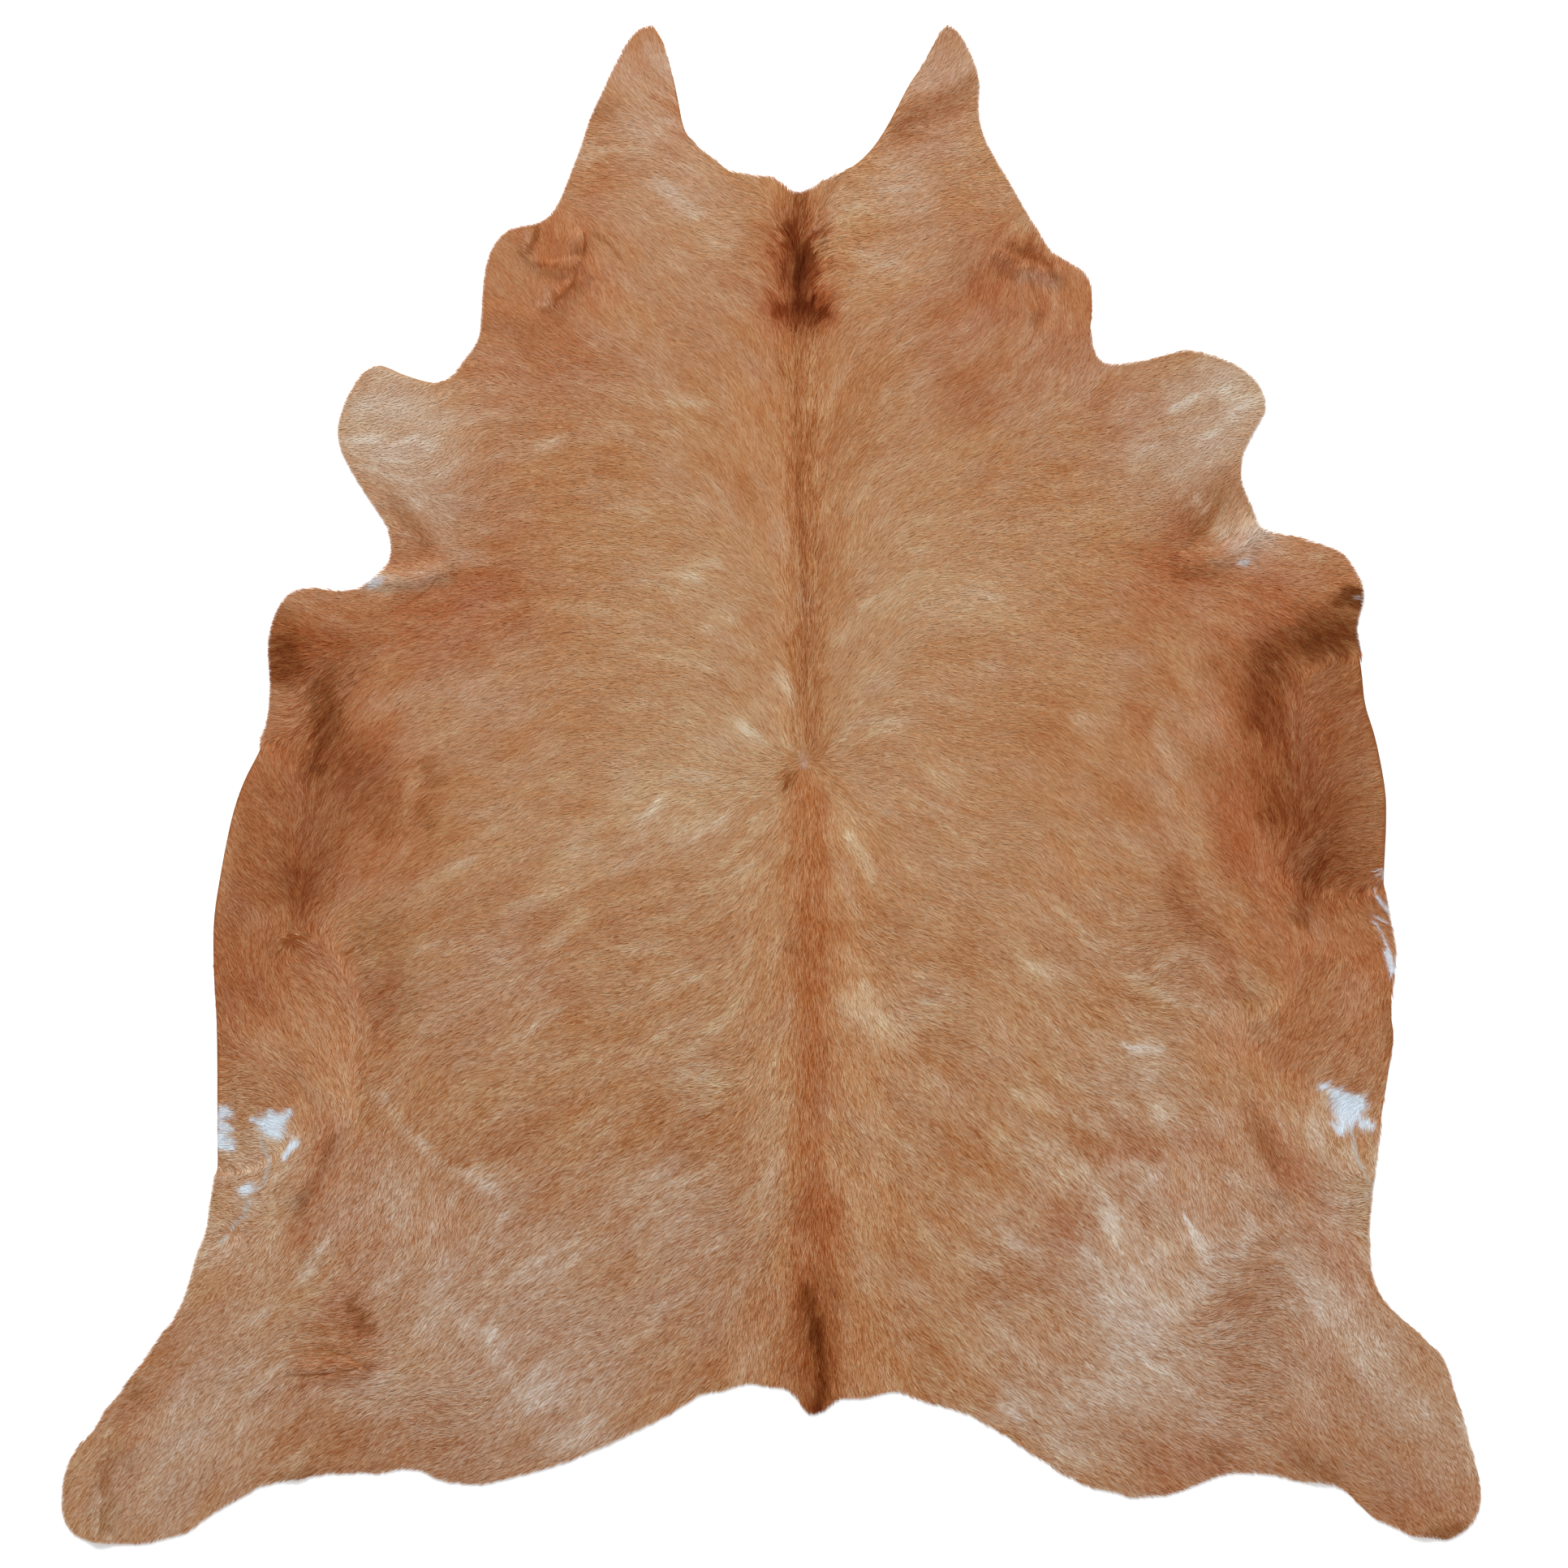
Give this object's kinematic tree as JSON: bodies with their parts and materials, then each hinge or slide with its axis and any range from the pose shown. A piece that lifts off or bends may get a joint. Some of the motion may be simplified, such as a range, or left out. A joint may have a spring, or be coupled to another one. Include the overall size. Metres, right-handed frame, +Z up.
{
  "type": "cowhide rug",
  "caption": "Flat rug made of one whole cowhide with its short tan hair on; the outline keeps the two neck points, leg lobes, hind feet and tail root.",
  "frame": {"origin": "on the floor under the middle of the rug's box", "axes": "+Y along the backbone from the tail towards the neck, +X across the back to the animal's right as the rug is seen from above with the neck up, +Z up out of the hair side"},
  "size_m": [2.0958, 2.2452, 0.0135],
  "materials": {
    "hide": "short tan hair lying flat on tanned skin"
  },
  "bodies": {
    "root": {"hide": "hide"}
  },
  "joints": []
}
